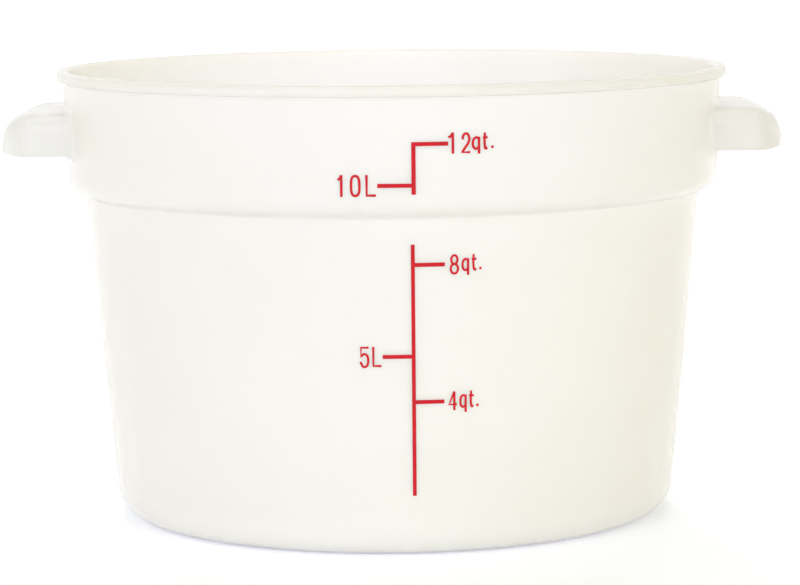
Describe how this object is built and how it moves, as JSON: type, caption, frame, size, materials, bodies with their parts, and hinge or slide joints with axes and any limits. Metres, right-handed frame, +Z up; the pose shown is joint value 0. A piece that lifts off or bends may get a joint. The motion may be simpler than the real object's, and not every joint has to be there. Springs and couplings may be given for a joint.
{
  "type": "round food storage container",
  "caption": "Open round food storage tub with a tapered wall, stepped collar, lid lip, hollow lug handles and a printed volume scale.",
  "frame": {"origin": "centre of the flat ring that the tub stands on", "axes": "+Z up along the tub's axis; +X and -X run out through the two handles; the printed scale faces -Y"},
  "size_m": [0.372, 0.3188, 0.2129],
  "materials": {
    "polypropylene": "milky translucent, satin",
    "red_ink": "printed ink, satin"
  },
  "bodies": {
    "root": {"tub_shell": "polypropylene", "left_handle": "polypropylene", "right_handle": "polypropylene", "upper_scale_print": "red_ink", "lower_scale_print": "red_ink"}
  },
  "joints": []
}
